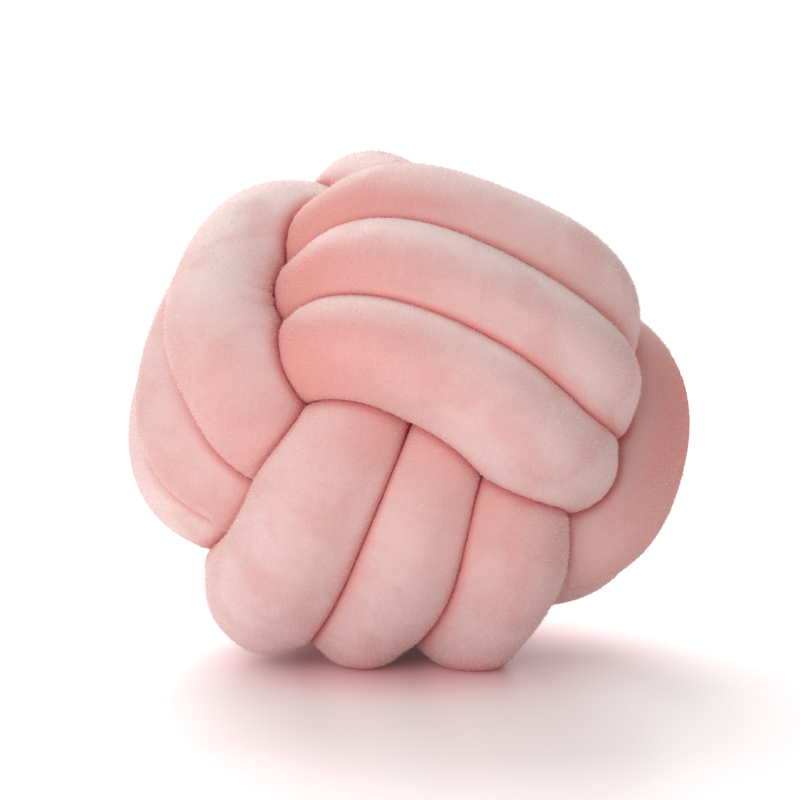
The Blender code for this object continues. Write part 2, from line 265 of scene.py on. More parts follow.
# %% Curves through the hollow
def tucked_curve(stops, into, out_of):
    """Points on a smooth curve through the stops, from the end of one band to the next."""
    ends = [part[[-1]] for part in (into,) if part is not None]
    starts = [part[[0]] for part in (out_of,) if part is not None]
    knots = np.concatenate([*ends, np.array(stops), *starts])
    slopes = np.gradient(knots, axis=0)
    if into is not None:
        slopes[0] = unit(into[-1] - into[-2]) * np.linalg.norm(knots[1] - knots[0])
    if out_of is not None:
        slopes[-1] = unit(out_of[1] - out_of[0]) * np.linalg.norm(knots[-1] - knots[-2])
    curve = []
    for start, end, leave, arrive in zip(knots, knots[1:], slopes, slopes[1:]):
        t = np.linspace(0.0, 1.0, TUCK_PLACES, endpoint=False)[:, None]
        curve.append((2 * t**3 - 3 * t**2 + 1) * start + (t**3 - 2 * t**2 + t) * leave
                     + (3 * t**2 - 2 * t**3) * end + (t**3 - t**2) * arrive)
    curve = np.concatenate(curve)
    return curve[1:] if into is not None else curve


# %% Room for the hidden stretches
OWN_STRETCH = 0.068  # nearer than this along the tube, it doesn't press on itself
ROOM_SHARE = 0.82  # of two strands' radii, between their middle lines
SETTLE_EVERY = 3  # sections between the places that are moved
SETTLE_ROUNDS = 80
SETTLE_STEP = 0.4  # share of the missing room that one round makes
SETTLE_EASE = 0.3  # share of the way to its neighbours' mean that a place then moves
EVEN_FREE = 2.5  # places over which the freedom to move is evened out
EVEN_MOVE = 2.0  # the same for a move
EVEN_SETTLED = 1.5  # and for where a place then lies
TINY = 1e-6  # keeps a division by nothing from failing


def apart(points, radius, shows):
    """Moves the hidden stretches, sideways or deeper, until they lie clear of the others."""
    coarse = slice(None, None, SETTLE_EVERY)
    places, sizes = points[coarse].copy(), radius[coarse]
    free = smoothed((~shows[coarse]).astype(float), EVEN_FREE)[:, None]
    order = np.arange(len(places))
    along_tube = np.abs(order[:, None] - order[None, :]) * SETTLE_EVERY * STEP
    wanted = ROOM_SHARE * (sizes[:, None] + sizes[None, :])
    wanted[along_tube < OWN_STRETCH] = 0.0
    for _ in range(SETTLE_ROUNDS):
        away = places[:, None, :] - places[None, :, :]
        distance = np.linalg.norm(away, axis=2) + TINY
        short = np.maximum(wanted - distance, 0.0)
        step = np.sum(away * (short / distance * short)[..., None], axis=1)
        step = step / np.maximum(short.sum(axis=1), TINY)[:, None]
        outward = unit(places)
        step = step - outward * np.maximum(np.sum(step * outward, axis=1, keepdims=True), 0.0)
        places = places + SETTLE_STEP * free * smoothed(step, EVEN_MOVE)
        places = places + SETTLE_EASE * free * (smoothed(places, EVEN_SETTLED) - places)
    moved = places - points[coarse]
    every = np.arange(len(points)) / SETTLE_EVERY
    return points + np.stack([np.interp(every, order, axis) for axis in moved.T], axis=1)


# %% The whole line
EVEN_ENDS = 2.5  # sections over which the joins of strands and curves are evened out
EVEN_LINE = 4.0  # the same for the settled line
EVEN_RADIUS = 5.0  # and for its radius
NO_STRAND = -1.0  # strand number of a stretch between two bands


def tube_path():
    """Middle line of the whole tube: points, radius, shows, strand number and strand angle."""
    bands = [band_points(band) for band in BANDS]
    ends = [None] + [band[0] for band in bands] + [None]
    columns = [[], [], [], [], []]
    for place, stops in enumerate(TUCKED):
        curve = tucked_curve(stops, ends[place], ends[place + 1])
        inside = (curve, np.full(len(curve), INSIDE_RADIUS), np.zeros(len(curve), dtype=bool),
                  np.full(len(curve), NO_STRAND), np.zeros(len(curve)))
        for part in (inside, bands[place]) if place < len(bands) else (inside,):
            for column, values in zip(columns, part):
                column.append(values)
    points, radius, shows, number, angle = evenly_spaced(*map(np.concatenate, columns))
    points = apart(smoothed(points, EVEN_ENDS), radius, shows)
    points, radius, shows, number, angle = evenly_spaced(points, radius, shows, number, angle)
    return smoothed(points, EVEN_LINE), smoothed(radius, EVEN_RADIUS), shows, number, angle


line, line_radius, line_shows, line_number, line_angle = tube_path()
to_world = np.array(Euler([radians(angle) for angle in TURN]).to_matrix())
line = line @ to_world.T
length = np.linalg.norm(np.diff(line, axis=0), axis=1).sum()
print(f"the tube is {length:.2f} m long, in {len(line)} sections")

# %% [markdown]
# ## The stuffed tube
#
# Stuffing swells the tube to its full radius wherever it has room. Between two strands lies the
# surface that divides them evenly, and neither goes past it, so they press each other flat.
# Close beside such a place the tube bulges a little, and so the strands fill the crease between
# them. The cover is then drawn tight over it all like a soap film: each point moves to the mean
# of its neighbours, a little at a time, and never past its room. This is a small cloth
# simulation of its own. Blender's Cloth could do it too, but five metres of tube that touches
# itself everywhere would take it far too long.

# %% Directions round each section
SIDES = 64  # points round a section
START_ACROSS = (0.3, 0.5, 0.8)  # any direction that isn't the one in which the tube starts
CLEAR_OUTSIDE = 0.060  # a section this far out of the ball's middle knows where the outside is
EVEN_TURN = 6.0  # sections over which the turn of the first direction is evened out


def section_directions(points):
    """For each section, the directions of its points, the first one pointing out of the ball."""
    along = unit(np.gradient(points, axis=0))
    across = np.zeros_like(points)
    across[0] = unit(np.cross(along[0], START_ACROSS))
    for i in range(1, len(points)):
        carried = across[i - 1] - along[i] * np.dot(along[i], across[i - 1])
        across[i] = carried / np.linalg.norm(carried)
    other = np.cross(along, across)
    outward = points - along * np.sum(points * along, axis=1, keepdims=True)
    turn = np.arctan2(np.sum(outward * other, axis=1), np.sum(outward * across, axis=1))
    certain = np.linalg.norm(outward, axis=1) > CLEAR_OUTSIDE
    places = np.arange(len(points))
    turn = np.interp(places, places[certain], np.unwrap(turn[certain]))
    turn = smoothed(turn, EVEN_TURN)
    angles = turn[:, None] + np.linspace(0.0, 2 * np.pi, SIDES, endpoint=False)[None, :]
    return (np.cos(angles)[..., None] * across[:, None, :]
            + np.sin(angles)[..., None] * other[:, None, :])


# %% Room beside neighbours and above the floor
NEAR = 0.080  # stretches whose middle lines are farther apart never touch
LEAST_APART = 0.008  # nearer sections are taken as one
FOLDED_BACK = 0.62  # a stretch this much nearer than its way along the tube folds back on it
BEND_ROOM = 0.75  # the share of a bend's inner radius that the tube may fill
LEAST_TOWARD = 0.02  # a direction that turns less than this towards a neighbour is free of it
FREE_ROOM = 1.0  # the room of a direction that nothing limits


def room_beside(points, radius, gap, directions):
    """How far each point of a section may go out before it meets another stretch of the tube."""
    places = np.arange(len(points)) * STEP
    room = np.full(directions.shape[:2], FREE_ROOM)
    for i in range(len(points)):
        step = points - points[i]
        distance = np.linalg.norm(step, axis=1)
        along_tube = np.abs(places - places[i])
        near = (distance < NEAR) & (along_tube > LEAST_APART)
        step, distance, along_tube = step[near], distance[near], along_tube[near]
        other = (along_tube > OWN_STRETCH) | (distance < FOLDED_BACK * along_tube)
        divide = (distance**2 + radius[i] ** 2 - radius[near] ** 2) / (2 * distance) - gap[i] / 2
        divide = np.where(other, divide, BEND_ROOM * distance / 2)
        toward = directions[i] @ (step / distance[:, None]).T
        reach = np.where(toward > LEAST_TOWARD, divide / np.maximum(toward, LEAST_TOWARD), FREE_ROOM)
        room[i] = reach.min(axis=1)
    return room


def room_to_floor(points, directions):
    """The same, down to the surface on which the cushion rests."""
    down = -directions[..., 2]
    room = points[:, None, 2] / np.maximum(down, LEAST_TOWARD)
    return np.where(down > LEAST_TOWARD, room, FREE_ROOM)


# %% Stuffing
SOFTNESS = 0.003  # how gently the tube rounds off beside a pressed place
CROWD_SWELL = 0.005  # the stuffing bulges so far towards a neighbour
CROWD_REACH = 0.010  # that lies so near its surface
STUFFING_ROUNDS = 200


def stuffed(radius, room):
    """Swells each section where it has room, and rounds it off beside a pressed place."""
    # How hard the cover pulls at a point, along the tube and round it, beside the stuffing's push.
    pull = (SOFTNESS / STEP) ** 2
    around = (SOFTNESS * SIDES / (2 * np.pi * TUBE_RADIUS)) ** 2
    spare = (room - radius[:, None]) / CROWD_REACH
    full = radius[:, None] + CROWD_SWELL * np.exp(-(spare**2))
    size = np.minimum(full, room)
    for _ in range(STUFFING_ROUNDS):
        ahead = np.concatenate([size[1:], size[-1:]])
        behind = np.concatenate([size[:1], size[:-1]])
        beside = np.roll(size, 1, axis=1) + np.roll(size, -1, axis=1)
        drawn = full + pull * (ahead + behind) + around * beside
        size = np.minimum(drawn / (1.0 + 2.0 * pull + 2.0 * around), room)
    return size


def round_ends(size):
    """Closes both ends of the tube in half a ball."""
    from_end = np.minimum(np.arange(len(size)), np.arange(len(size))[::-1]) * STEP
    share = np.clip(from_end / INSIDE_RADIUS, 0.0, 1.0)
    return size * np.sqrt(np.maximum(1.0 - (1.0 - share) ** 2, 0.0))[:, None]


# %% [markdown]
# ## Lumps and gathers
#
# Nobody stuffs five metres of tube quite evenly, so it is a little thicker here and thinner
# there. Where a strand is squeezed or turned, its cover gathers in short soft folds. They are
# placed where the photograph shows them: each is a shallow trough in the tube.

# %% Uneven stuffing and folds
LUMP = 0.0004  # usual departure of the tube's radius from an even one
LUMP_EVERY = 9.0  # sections over which a lump evens out
LUMP_SEED = 11


class Fold(NamedTuple):
    strand: tuple
    at: float  # degrees from the strand's middle, along it
    around: float  # degrees round the tube from its outer side
    half_width: float  # metres
    half_length: float
    slant: float  # degrees that the fold is turned, from running straight round the tube
    depth: float


FOLDS = (
    Fold(("left", 2), -3, 262, 0.0024, 0.010, 12, 0.0011),
    Fold(("left", 2), -9, 256, 0.0022, 0.013, -8, 0.0016),
    Fold(("left", 2), -14, 252, 0.0026, 0.010, -20, 0.0009),
    Fold(("top", 0), 34, 47, 0.0030, 0.008, 62, 0.0026),
    Fold(("top", 0), 38, 33, 0.0028, 0.009, 78, 0.0016),
)


def lumpy(radius):
    """Makes the tube a little thicker here and thinner there."""
    lumps = smoothed(np.random.default_rng(LUMP_SEED).normal(size=len(radius)), LUMP_EVERY)
    return radius + LUMP * lumps / lumps.std()


def folded(size):
    """Presses the folds in."""
    around = np.arange(SIDES) * 360.0 / SIDES
    for fold in FOLDS:
        own = np.flatnonzero(line_number == STRAND_KEYS.index(fold.strand))
        middle = own[np.argmin(np.abs(line_angle[own] - fold.at))]
        along = (np.arange(len(size)) - middle)[:, None] * STEP
        beside = (around - fold.around + 180.0) % 360.0 - 180.0
        beside = np.radians(beside)[None, :] * line_radius[middle]
        slant = radians(fold.slant)
        across = along * cos(slant) + beside * sin(slant)
        lengthwise = beside * cos(slant) - along * sin(slant)
        trough = np.exp(-(across / fold.half_width) ** 2 - (lengthwise / fold.half_length) ** 2)
        size = size - fold.depth * trough
    return size


# %% Stuff the tube
SEAM_GAP = 0.0  # between two strands that touch: the creases are closed
INSIDE_GAP = 0.006  # the same, where the tube is hidden
EVEN_GAP = 5.0  # sections over which what changes along the tube is evened out
LEAST_RADIUS = 0.004  # no place is pressed flatter than this

directions = section_directions(line)
line = line + (0.0, 0.0, CENTRE_HEIGHT)
line_radius = lumpy(line_radius)
gap = smoothed(np.where(line_shows, SEAM_GAP, INSIDE_GAP), EVEN_GAP)
room = np.minimum(room_beside(line, line_radius, gap, directions), room_to_floor(line, directions))
room = np.maximum(room, LEAST_RADIUS)
size = folded(stuffed(line_radius, room))
print(f"the tube's radius runs from {size.min() * 1000:.1f} to {size.max() * 1000:.1f} mm")

# %% Points of the surface, in the frame
surface = line[:, None, :] + round_ends(size)[..., None] * directions
low, high = surface.min(axis=(0, 1)), surface.max(axis=(0, 1))
to_frame = np.array([(low[0] + high[0]) / 2, (low[1] + high[1]) / 2, low[2]])
surface = surface - to_frame
line = line - to_frame
print("moved to the frame by", np.round(-to_frame, 4))

# %% [markdown]
# ## The mesh
#
# Rings of points, one every three millimetres where the tube shows and fewer where it is
# hidden, are joined by four-sided faces, and a fan of triangles closes each end. A curve with a
# bevel would make such a tube too, but a round one, that no neighbour presses flat.

# %% Build the tube
HIDDEN_EVERY = 5  # of the sections that are hidden, one in so many is kept
BESIDE_SHOWING = 0.10  # a section is kept where more than this share of those round it show


def kept_sections():
    """All sections that show or lie beside one that does, and some of the rest."""
    near = smoothed(line_shows.astype(float), EVEN_GAP) > BESIDE_SHOWING
    kept = near | (np.arange(len(line)) % HIDDEN_EVERY == 0)
    kept[[0, -1]] = False
    return np.flatnonzero(kept)


def tube_faces(rings):
    """Corner numbers of the faces, turned outwards. The two tips come after all the rings."""
    side = np.arange(SIDES)
    next_side = (side + 1) % SIDES
    ring = np.arange(rings - 1)[:, None] * SIDES
    quads = np.stack([ring + side, ring + next_side,
                      ring + SIDES + next_side, ring + SIDES + side], axis=-1).reshape(-1, 4)
    last = (rings - 1) * SIDES
    start_tip, end_tip = rings * SIDES, rings * SIDES + 1
    start_fan = np.stack([next_side, side, np.full(SIDES, start_tip)], axis=1)
    end_fan = np.stack([last + side, last + next_side, np.full(SIDES, end_tip)], axis=1)
    return quads.tolist() + start_fan.tolist() + end_fan.tolist()


def build_tube(kept):
    mesh = bpy.data.meshes.new("velvet_tube")
    points = np.concatenate([surface[kept].reshape(-1, 3), line[[0, -1]]])
    mesh.from_pydata(points.tolist(), [], tube_faces(len(kept)))
    mesh.shade_smooth()
    tube = bpy.data.objects.new("velvet_tube", mesh)
    bpy.context.scene.collection.objects.link(tube)
    return tube


kept_rings = kept_sections()
velvet_tube = build_tube(kept_rings)
print(f"{len(kept_rings)} rings and {len(velvet_tube.data.polygons)} faces")

# %% [markdown]
# ## How the velvet lies
#
# Velvet looks deep and full where one sees into its pile, and pale where the pile leans away.
# So a strand of one colour runs from deep to pale along its length. Shade and light are painted
# on as well: darker beside each crease and where a strand lies in another's shade, and paler on
# top and at the front's low ends, where light is painted in. All this could be painted on the tube
# by hand. Here the mesh carries it as attributes, which are numbers at its points: how hard a
# neighbour presses a place, how much painted shade lies beside a crease, how deep or pale its nap
# and painted light make it, and whether pile stands there at all.


# %% The way it was brushed, with painted shade and highlight
class NapAndShade(NamedTuple):
    # the nap, and on some strands painted shade and light as well
    end: int  # the end of the strand at which its pile leans towards the eye and looks deeper
    starts: float  # degrees from the strand's middle to where that begins
    full: float  # and to where it looks as deep as it gets
    deep: float  # how much deeper it looks there
    pale: float  # and how much paler at the other end


NAP_AND_SHADE = {
    "top": NapAndShade(-1, -26, 38, 0.9, 0.1),
    "left": NapAndShade(-1, 10, 48, 0.6, 0.9),
    # painted shade and light: the front band is deep at its top, in the shade of the top band over
    # it, and its low ends are painted paler
    "front": NapAndShade(1, 28, 50, 0.9, 1.0),
    # partly painted shade: the right band lies away from the light and is painted deeper over much
    # of its length
    "right": NapAndShade(1, -40, 30, 0.5, 0.2),
    "back": NapAndShade(1, 8, 46, 0.4, 0.6),
    "bottom": NapAndShade(-1, 8, 46, 0.5, 0.3),
}
OWN_NAP_AND_SHADE = {  # strands that differ from their face's others, one of them painted deep as shade
    ("left", 0): NapAndShade(1, 10, 48, 0.5, 0.5),
    ("left", 1): NapAndShade(-1, 24, 52, 0.4, 0.9),
    # painted shade: this strand is deep all along, as it lies in the shade of the top band
    ("right", 2): NapAndShade(1, -60, 10, 1.0, 0.0),
}
PALE_FROM = -15  # degrees past the middle, towards the paler end
PALE_FULL = 40
PAINTED_TOP_HIGHLIGHT = 0.8  # painted highlight: the top of each strand is painted paler, where the light falls
PAINTED_TOP_HIGHLIGHT_FROM = 0.35  # upward share of the way out, where that begins


def nap_and_painted_shading(kept):
    """How deep and how pale each point looks, from its nap and from painted shade, with a painted
    highlight on top.
    """
    naps = np.array([OWN_NAP_AND_SHADE.get(key, NAP_AND_SHADE[key[0]]) for key in STRAND_KEYS])
    end, starts, full, most_deep, most_pale = naps[line_number.astype(int)].T
    deep = most_deep * smooth_step((end * line_angle - starts) / (full - starts))
    pale = most_pale * smooth_step((-end * line_angle - PALE_FROM) / (PALE_FULL - PALE_FROM))
    deep, pale = (smoothed(values, EVEN_GAP)[kept, None] for values in (deep, pale))
    painted_top_highlight = PAINTED_TOP_HIGHLIGHT * smooth_step((directions[kept, :, 2] - PAINTED_TOP_HIGHLIGHT_FROM) / (1.0 - PAINTED_TOP_HIGHLIGHT_FROM))
    return deep * (1.0 - painted_top_highlight), np.maximum(pale, painted_top_highlight)


# %% Attributes of the mesh
PRESSED_DEPTH = 0.0010  # a place this far from its limit is hardly pressed any more
CREASE_SHADE_DEPTH = 0.005  # and this far from it, the painted shade beside a crease has almost faded
PILE_FROM = 0.003  # the cushion's weight flattens the pile below this height
NO_BAND = -1.0
BAND_OF_FACE = {face: number for number, band in enumerate(BANDS) for face in band.faces}
BAND_OF_STRAND = np.array([float(BAND_OF_FACE[face]) for face, number in STRAND_KEYS])


def velvet_values(kept):
    """For each attribute, its value at every point of the rings and at both tips."""
    slack = (room - size)[kept]
    pressed = np.exp(-slack / PRESSED_DEPTH)
    deep, pale = nap_and_painted_shading(kept)
    band = np.where(line_shows, BAND_OF_STRAND[line_number.astype(int)], NO_BAND)[kept]
    shows = smoothed(line_shows.astype(float), EVEN_GAP)[kept, None]
    stands = surface[kept][..., 2] > PILE_FROM
    return {
        "pressed": (pressed, 1.0),
        # painted shade, darker the nearer a place lies to a neighbour that presses it
        "crease_shade": (np.exp(-slack / CREASE_SHADE_DEPTH), 1.0),
        "deep": (deep, 1.0),
        "pale": (pale, 0.0),
        "band": (np.repeat(band, SIDES), NO_BAND),
        "pile": (shows * (1.0 - pressed) * stands, 0.0),
    }


for name, (values, at_tips) in velvet_values(kept_rings).items():
    layer = velvet_tube.data.attributes.new(name, "FLOAT", "POINT")
    layer.data.foreach_set("value", np.append(values.ravel(), [at_tips, at_tips]))
    print(f"{name}: {values.min():.2f} to {values.max():.2f}, {values.mean():.2f} on average")

# %% [markdown]
# ## The tube unrolled
#
# The knitted rows of the velvet run round the tube, so its material has to know how far along
# the tube each place lies. A UV map tells it, very nearly in metres: along the tube, and round
# it. Its seam lies on the tube's inner side, out of sight. Unwrapping by hand would stretch it.

# %% UV map along and round the tube
INNER_SIDE = SIDES // 2  # number of the side that faces the ball's middle


def polygon_values(mesh, name):
    values = np.zeros(len(mesh.polygons), dtype=np.int32)
    mesh.polygons.foreach_get(name, values)
    return values


def map_tube(mesh, kept):
    corner = np.zeros(len(mesh.loops), dtype=np.int32)
    mesh.loops.foreach_get("vertex_index", corner)
    along = kept[np.minimum(corner // SIDES, len(kept) - 1)] * STEP
    place = (corner % SIDES - INNER_SIDE) % SIDES
    start, total = polygon_values(mesh, "loop_start"), polygon_values(mesh, "loop_total")
    owner = np.repeat(np.arange(len(total)), total)
    wraps = np.maximum.reduceat(place, start) - np.minimum.reduceat(place, start) > INNER_SIDE
    place = np.where(wraps[owner] & (place == 0), SIDES, place)
    around = place / SIDES * 2 * pi * TUBE_RADIUS
    layer = mesh.uv_layers.new(name="tube")
    layer.data.foreach_set("uv", np.stack([along, around], axis=1).astype(np.float32).ravel())
    print(f"the UV map is {along.max():.2f} m long and {around.max():.3f} m wide")


map_tube(velvet_tube.data, kept_rings)

# %% [markdown]
# ## Velvet
#
# The attributes and a low noise, for the soft patches that brushing leaves, choose between four
# colours. Two of them paint shade: a deeper one beside the creases and where a strand lies in
# another's shade, and a dark crimson one in the creases. The pale one also paints a highlight on
# top. In a closed crease, light that seeps through the pile keeps the dark line red, which a
# faint glow stands for. The knitted ground shows as rows, and Principled's sheen adds the bloom
# at the rims. An image texture could hold all this, but it would blur as one comes closer. What
# makes the colours, the glow and the rows is a node group, so that the pile can use it too.


# %% Helpers for node trees
def node(tree, kind, **settings):
    made = tree.nodes.new(kind)
    for name, value in settings.items():
        setattr(made, name, value)
    return made


def set_inputs(made, values):
    for name, value in values.items():
        made.inputs[name].default_value = value


def add_sockets(tree, direction, kinds):
    """Gives a tree its named inputs or outputs, and returns them."""
    return [tree.interface.new_socket(name, in_out=direction, socket_type="NodeSocket" + kind)
            for name, kind in kinds]


def feed(tree, socket, value):
    """Links the socket to another node's output, or sets it to a plain value."""
    if isinstance(value, bpy.types.NodeSocket):
        tree.links.new(value, socket)
    else:
        socket.default_value = value


def maths(tree, operation, *values, **settings):
    step = node(tree, "ShaderNodeMath", operation=operation, **settings)
    for socket, value in zip(step.inputs, values):
        feed(tree, socket, value)
    return step.outputs[0]


def between(tree, value, low, high, out=(0.0, 1.0), easing="LINEAR"):
    """Goes from one end of out to the other while the value goes from low to high."""
    step = node(tree, "ShaderNodeMapRange", interpolation_type=easing)
    feed(tree, step.inputs["Value"], value)
    set_inputs(step, {"From Min": low, "From Max": high, "To Min": out[0], "To Max": out[1]})
    return step.outputs[0]


def mixed(tree, colour, other, share):
    mix = node(tree, "ShaderNodeMix", data_type="RGBA")
    feed(tree, mix.inputs["Factor"], share)
    feed(tree, mix.inputs[6], colour)
    feed(tree, mix.inputs[7], other)
    return mix.outputs[2]


def noise(tree, size, **values):
    """Soft noise that stays with the piece, in spots of about this size."""
    place = node(tree, "ShaderNodeTexCoord")
    spots = node(tree, "ShaderNodeTexNoise")
    set_inputs(spots, values)
    feed(tree, spots.inputs["Vector"], place.outputs["Object"])
    feed(tree, spots.inputs["Scale"], maths(tree, "DIVIDE", 1.0, size))
    return spots.outputs["Fac"]


def attribute(tree, name):
    return node(tree, "ShaderNodeAttribute", attribute_name=name).outputs["Fac"]


# %% Velvet's colours
PATCH_LEVELS = (0.38, 0.68)  # of the noise, from no pale patch to a full one
BLUSH_LEVELS = (0.50, 0.28)  # the same for a deep patch, where the noise is low
GLOW_POWER = 4.0  # keeps the glow to where the pile is pressed hardest
BLACK = (0.0, 0.0, 0.0, 1.0)


def velvet_colour(group, given):
    """Open velvet, with pale and deep patches and the nap, then painted shade beside and in the
    creases; the pale colour also paints the highlight on top.
    """
    spots = noise(group, given["Patch Size"], Detail=3.0, Roughness=0.55, Distortion=0.6)
    patch, blush = (maths(group, "MULTIPLY", between(group, spots, *levels), given["Patch Strength"])
                    for levels in (PATCH_LEVELS, BLUSH_LEVELS))
    paler = maths(group, "ADD", patch, attribute(group, "pale"), use_clamp=True)
    deeper = maths(group, "MAXIMUM", attribute(group, "crease_shade"), attribute(group, "deep"))
    # the pale colour also paints the highlight on top
    colour = mixed(group, given["Open Colour"], given["Pale And Highlight Colour"], paler)
    colour = mixed(group, colour, given["Deep And Shade Colour"], blush)
    # painted shade beside the creases and on strands in another's shade, together with the deep nap
    colour = mixed(group, colour, given["Deep And Shade Colour"], deeper)
    # painted shade: the creases themselves are darkened to crimson
    return mixed(group, colour, given["Crease Shade Colour"], attribute(group, "pressed"))


def velvet_glow(group, given):
    """Light that seeps through the pile in a closed crease."""
    closed = maths(group, "POWER", attribute(group, "pressed"), GLOW_POWER)
    return mixed(group, BLACK, given["Glow Colour"], closed)


# %% Velvet's grain and rows
ROW_SHARE = 0.12  # height of the knitted rows, beside the grain's


def velvet_height(group, given):
    """The grain of the pile, and the rows of the knitted ground under it."""
    grain = noise(group, given["Grain Size"], Detail=2.0)
    unrolled = node(group, "ShaderNodeUVMap", uv_map="tube")
    along = node(group, "ShaderNodeSeparateXYZ")
    feed(group, along.inputs[0], unrolled.outputs["UV"])
    rows = maths(group, "DIVIDE", along.outputs["X"], given["Row Size"])
    ridge = maths(group, "SINE", maths(group, "MULTIPLY", rows, 2 * pi))
    return maths(group, "MULTIPLY_ADD", ridge, ROW_SHARE, grain)


# %% Velvet's node group
VELVET_COLOURS = {  # linear RGB
    "Open Colour": (0.62, 0.41, 0.39, 1.0),
    # deep patches and nap, and painted shade beside the creases and under other strands
    "Deep And Shade Colour": (0.61, 0.25, 0.222, 1.0),
    # painted shade in the creases
    "Crease Shade Colour": (0.63, 0.22, 0.21, 1.0),
    # pale patches and nap, and the painted highlight on top
    "Pale And Highlight Colour": (0.73, 0.60, 0.585, 1.0),
    "Glow Colour": (0.080, 0.008, 0.012, 1.0),
}
VELVET_PATTERN = {
    "Patch Size": 0.035,  # metres, as the other sizes
    "Patch Strength": 0.30,
    "Grain Size": 0.0009,
    "Row Size": 0.0015,
}


def velvet_nap_group():
    group = bpy.data.node_groups.new("velvet_nap", "ShaderNodeTree")
    kinds = [(name, "Color") for name in VELVET_COLOURS]
    kinds += [(name, "Float") for name in VELVET_PATTERN]
    values = [*VELVET_COLOURS.values(), *VELVET_PATTERN.values()]
    for socket, value in zip(add_sockets(group, "INPUT", kinds), values):
        socket.default_value = value
    add_sockets(group, "OUTPUT", (("Colour", "Color"), ("Glow", "Color"), ("Height", "Float")))
    given = node(group, "NodeGroupInput").outputs
    result = node(group, "NodeGroupOutput").inputs
    feed(group, result["Colour"], velvet_colour(group, given))
    feed(group, result["Glow"], velvet_glow(group, given))
    feed(group, result["Height"], velvet_height(group, given))
    return group


velvet_nap = velvet_nap_group()
print("the velvet's group has", len(velvet_nap.nodes), "nodes")

# %% Velvet's material
VELVET_FINISH = {
    "Roughness": 0.9,
    "Specular IOR Level": 0.0,
    "Sheen Weight": 0.25,
    "Sheen Roughness": 0.5,
    "Sheen Tint": (1.0, 0.86, 0.84, 1.0),
    "Emission Strength": 1.0,  # the glow's own colour is what makes it faint
}
VELVET_BUMP = {"Strength": 0.35, "Distance": 0.0004}


def velvet_material(name, own_values):
    """Velvet, with own values for some of the group's inputs."""
    material = bpy.data.materials.new(name)
    material.use_nodes = True
    tree = material.node_tree
    shader = tree.nodes["Principled BSDF"]
    set_inputs(shader, VELVET_FINISH)
    nap = node(tree, "ShaderNodeGroup", node_tree=velvet_nap)
    set_inputs(nap, own_values)
    bump = node(tree, "ShaderNodeBump")
    set_inputs(bump, VELVET_BUMP)
    feed(tree, shader.inputs["Base Color"], nap.outputs["Colour"])
    feed(tree, shader.inputs["Emission Color"], nap.outputs["Glow"])
    feed(tree, bump.inputs["Height"], nap.outputs["Height"])
    feed(tree, shader.inputs["Normal"], bump.outputs["Normal"])
    return material


velvet_tube.data.materials.append(velvet_material("velvet", {}))
print("the tube is dressed in velvet")

# %% [markdown]
# ## The pile
#
# A velvet this soft has a pile that stands a millimetre high, and along each edge it catches
# the light as a thin bright fuzz. Geometry Nodes sow it: points spread over the tube, a thin
# three-sided spike on each, leaning a little, all made one mesh at the end. A particle system
# would do the same, but the nodes' result is a plain mesh. Each band gets its own.

# %% One spike, and how it stands
SPIKE_SIDES = 3
SPIKE_GROWTH = (0.6, 1.15)  # the smallest and the largest spike, beside the size asked for
LEAN_SHARES = (1.0, 1.0, 4.0)  # of the lean asked for: to both sides, and about the spike itself


def spike(tree, given):
    cone = node(tree, "GeometryNodeMeshCone")
    cone.inputs["Vertices"].default_value = SPIKE_SIDES
    feed(tree, cone.inputs["Radius Bottom"], maths(tree, "MULTIPLY", given["Width"], 0.5))
    feed(tree, cone.inputs["Depth"], given["Length"])
    return cone.outputs["Mesh"]


def leaning(tree, given, upright):
    """Tilts each spike from upright by a random lean."""
    tilt = node(tree, "FunctionNodeRandomValue", data_type="FLOAT_VECTOR")
    for limit, sign in (("Min", -1.0), ("Max", 1.0)):
        most = node(tree, "ShaderNodeVectorMath", operation="SCALE")
        most.inputs[0].default_value = [sign * share for share in LEAN_SHARES]
        feed(tree, most.inputs["Scale"], given["Lean"])
        feed(tree, tilt.inputs[limit], most.outputs[0])
    turned = node(tree, "FunctionNodeRotateRotation", rotation_space="LOCAL")
    feed(tree, turned.inputs["Rotation"], upright)
    feed(tree, turned.inputs["Rotate By"], tilt.outputs["Value"])
    return turned.outputs[0]


def growth(tree):
    varied = node(tree, "FunctionNodeRandomValue", data_type="FLOAT")
    varied.inputs[2].default_value, varied.inputs[3].default_value = SPIKE_GROWTH
    return varied.outputs[1]


# %% Geometry Nodes that sow it
SAME_BAND = 0.1  # band numbers that differ by less are one band's
PILE_INPUTS = (("Geometry", "Geometry"), ("Density", "Float"), ("Length", "Float"),
               ("Width", "Float"), ("Lean", "Float"), ("Band", "Float"), ("Seed", "Int"),
               ("Material", "Material"))


def carried(tree, name):
    """One of the tube's attributes, for each of its points."""
    read = node(tree, "GeometryNodeInputNamedAttribute", data_type="FLOAT")
    read.inputs["Name"].default_value = name
    return read.outputs["Attribute"]


